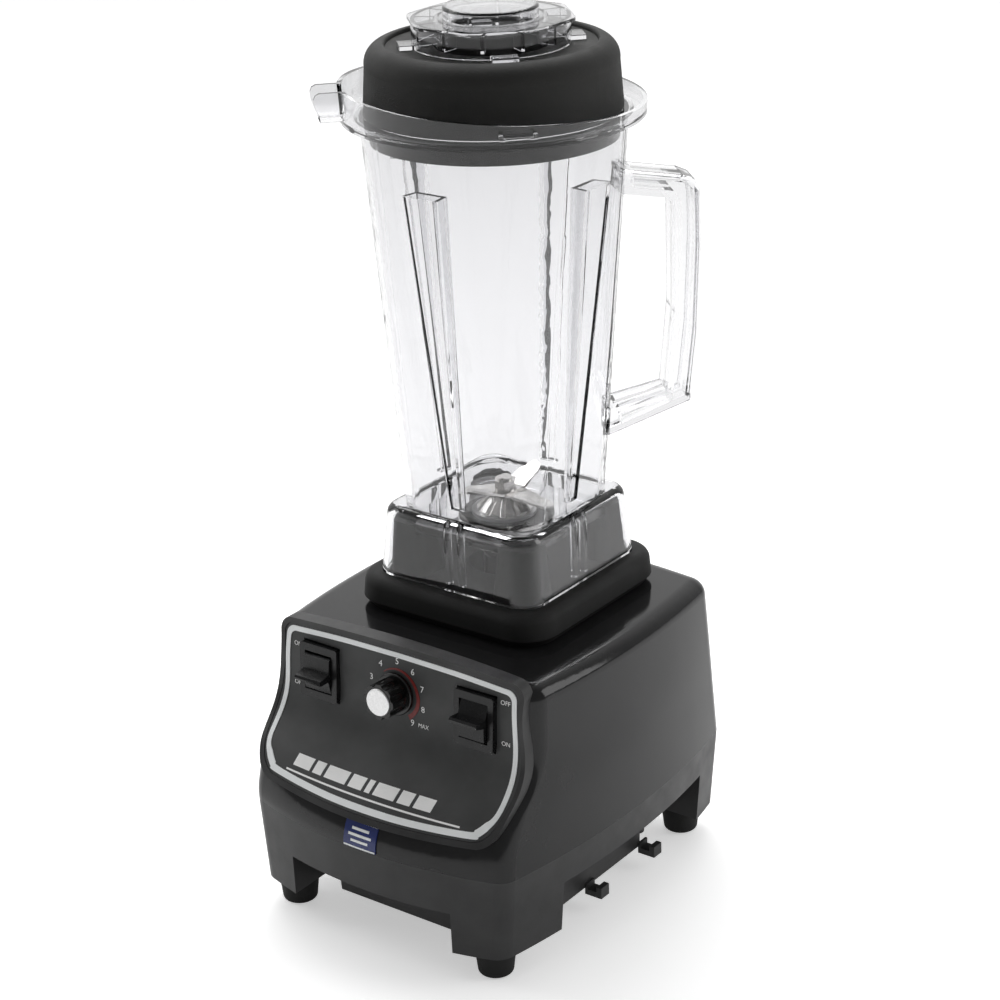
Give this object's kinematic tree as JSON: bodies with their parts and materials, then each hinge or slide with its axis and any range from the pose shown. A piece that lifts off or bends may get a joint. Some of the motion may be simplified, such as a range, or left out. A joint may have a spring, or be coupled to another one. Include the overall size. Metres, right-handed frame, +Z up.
{
  "type": "countertop blender",
  "caption": "Tall clear jar with handle, spout and rubber lid on a boxy black motor base with legs, a shield-shaped panel, rocker switches and a speed dial.",
  "frame": {"origin": "centre of the base footprint at the level of the feet's undersides", "axes": "+Z up, -Y the front with the control panel, +X the user's right"},
  "size_m": [0.204, 0.244, 0.5148],
  "materials": {
    "satin_black": "satin",
    "gloss_black": "gloss",
    "black_rubber": "matte",
    "lid_rubber": "matte",
    "zinc_steel": "satin",
    "fascia_charcoal": "matte",
    "outline_silver": "satin",
    "badge_navy": "gloss",
    "dial_red": "matte",
    "switch_black": "satin",
    "board_green": "satin",
    "cast_aluminium": "satin",
    "bearing_steel": "satin",
    "core_steel": "matte",
    "copper": "satin",
    "brass": "satin",
    "carbon": "matte",
    "socket_black": "satin",
    "knob_black": "gloss",
    "knob_silver": "spun",
    "clear_plastic": "clear",
    "blade_steel": "satin"
  },
  "bodies": {
    "base": {"lower_base": "satin_black", "bottom_pan": "satin_black", "cord_cleats": "satin_black", "rubber_feet": "black_rubber", "foot_screws": "zinc_steel", "case_screws": "zinc_steel", "pan_screws": "zinc_steel", "upper_housing": "gloss_black", "panel_frame": "satin_black", "panel_fascia": "fascia_charcoal", "panel_outline": "outline_silver", "badge_plate": "badge_navy", "dial_print": "dial_red", "power_switch_body": "switch_black", "pulse_switch_body": "switch_black", "speed_control": "switch_black", "jar_pad": "black_rubber", "control_board": "board_green", "cord_gland": "black_rubber", "upper_motor_bracket": "cast_aluminium", "lower_motor_bracket": "cast_aluminium", "motor_studs": "zinc_steel", "upper_motor_bearing": "bearing_steel", "lower_motor_bearing": "bearing_steel", "stator": "core_steel", "field_coils": "copper", "brush_holders": "brass", "brushes": "carbon"},
    "rotor": {"motor_shaft": "bearing_steel", "armature_core": "core_steel", "armature_winding": "copper", "commutator": "copper", "cooling_fan": "switch_black", "drive_socket": "socket_black"},
    "power_switch": {"power_rocker": "switch_black"},
    "pulse_switch": {"pulse_rocker": "switch_black"},
    "speed_dial": {"dial_shaft": "brass", "speed_knob": "knob_black", "knob_cap": "knob_silver"},
    "jar": {"jar": "clear_plastic", "bearing_housing": "cast_aluminium", "lower_blade_bearing": "bearing_steel", "upper_blade_bearing": "bearing_steel", "spindle_seal": "black_rubber", "retainer_nut": "blade_steel", "fluted_dome": "blade_steel"},
    "blades": {"blade_spindle": "blade_steel", "blade": "blade_steel", "blade_nut": "blade_steel"},
    "lid": {"lid": "lid_rubber"},
    "plug": {"lid_plug": "clear_plastic"}
  },
  "joints": [
    {"name": "motor_spin", "type": "hinge", "parent": "base", "child": "rotor", "pos_m": [0, 0.0251, 0.1], "axis": [0, 0, 1], "continuous": true},
    {"name": "jar_lift", "type": "slide", "parent": "base", "child": "jar", "axis": [0, 0, 1], "range_m": [0, 0.12]},
    {"name": "blade_spin", "type": "hinge", "parent": "jar", "child": "blades", "pos_m": [0, 0.0251, 0.22], "axis": [0, 0, 1], "continuous": true},
    {"name": "lid_lift", "type": "slide", "parent": "jar", "child": "lid", "axis": [0, 0, 1], "range_m": [0, 0.08]},
    {"name": "plug_lift", "type": "slide", "parent": "lid", "child": "plug", "axis": [0, 0, 1], "range_m": [0, 0.07]},
    {"name": "power_rock", "type": "hinge", "parent": "base", "child": "power_switch", "pos_m": [-0.055, -0.0809, 0.14763], "axis": [1, 0, 0], "range_deg": [-16, 0]},
    {"name": "pulse_rock", "type": "hinge", "parent": "base", "child": "pulse_switch", "pos_m": [0.055, -0.0809, 0.14763], "axis": [1, 0, 0], "range_deg": [0, 16]},
    {"name": "dial_turn", "type": "hinge", "parent": "base", "child": "speed_dial", "pos_m": [0, -0.0819, 0.149], "axis": [0, -0.9976, 0.0698], "range_deg": [-150, 150]}
  ],
  "couplings": [
    {"joint": "blade_spin", "follows": "motor_spin", "ratio": 1}
  ]
}
